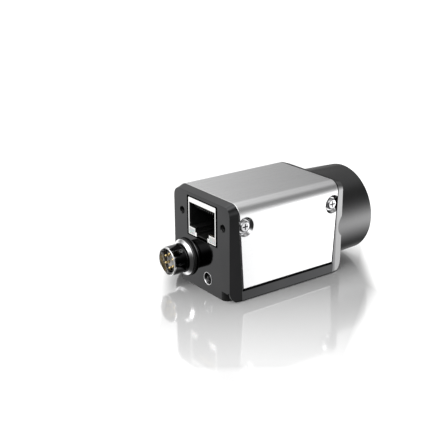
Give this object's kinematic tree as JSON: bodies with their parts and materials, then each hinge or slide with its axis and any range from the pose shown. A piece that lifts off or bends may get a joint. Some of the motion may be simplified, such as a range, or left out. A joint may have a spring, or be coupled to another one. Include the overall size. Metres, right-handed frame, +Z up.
{
  "type": "machine vision camera",
  "caption": "Compact box-type machine vision camera with a threaded lens mount in front, a light metal cover over a black casting, and a network jack, round connector and status light behind.",
  "frame": {"origin": "bottom centre of the bounding box: on the camera's base, midway between its sides and between lens rim and connector tip", "axes": "+Z up, -Y the direction that the lens looks, +Y the connector panel"},
  "size_m": [0.029, 0.0612, 0.029],
  "materials": {
    "black_casting": "gloss black enamel on a zinc casting",
    "silver_cover": "fine satin",
    "bright_screws": "bright plated steel",
    "steel_screws": "zinc plated",
    "black_rubber": "satin",
    "filter_glass": "coated",
    "clear_glass": "clear",
    "black_ring": "black anodised",
    "board_green": "green solder resist",
    "ceramic": "dark ceramic",
    "silicon": "polished silicon",
    "chip_black": "moulded epoxy",
    "ferrite": "ferrite",
    "connector_plastic": "moulded",
    "brass": "turned",
    "jack_shield": "nickel plated sheet",
    "jack_plastic": "moulded black",
    "gold": "gold plated",
    "light_plastic": "milky clear",
    "chrome": "bright plated",
    "dark_plate": "black plated, bright rim",
    "insulator": "moulded dark",
    "clear_plastic": "smoky clear"
  },
  "bodies": {
    "root": {"chassis": "black_casting", "top_cover": "silver_cover", "cover_screws": "bright_screws", "filter_gasket": "black_rubber", "filter_glass": "filter_glass", "filter_retainer": "black_ring", "sensor_board": "board_green", "sensor_package": "ceramic", "sensor_die": "silicon", "sensor_lid_glass": "clear_glass", "sensor_light_seal": "black_rubber", "sensor_board_screws": "steel_screws", "processor_board": "board_green", "processor_chip": "chip_black", "memory_chips": "chip_black", "power_board": "board_green", "power_inductors": "ferrite", "interface_board": "board_green", "ethernet_magnetics": "chip_black", "board_connectors": "connector_plastic", "board_spacers": "brass", "board_tie_screws": "steel_screws", "jack_shield": "jack_shield", "jack_insert": "jack_plastic", "jack_contacts": "gold", "jack_light_windows": "light_plastic", "round_connector_shell": "dark_plate", "round_connector_gasket": "black_rubber", "round_connector_nut": "chrome", "round_connector_insulator": "insulator", "round_connector_pins": "gold", "status_light_bezel": "chrome", "status_light_pipe": "clear_plastic", "status_led_chip": "light_plastic"}
  },
  "joints": []
}
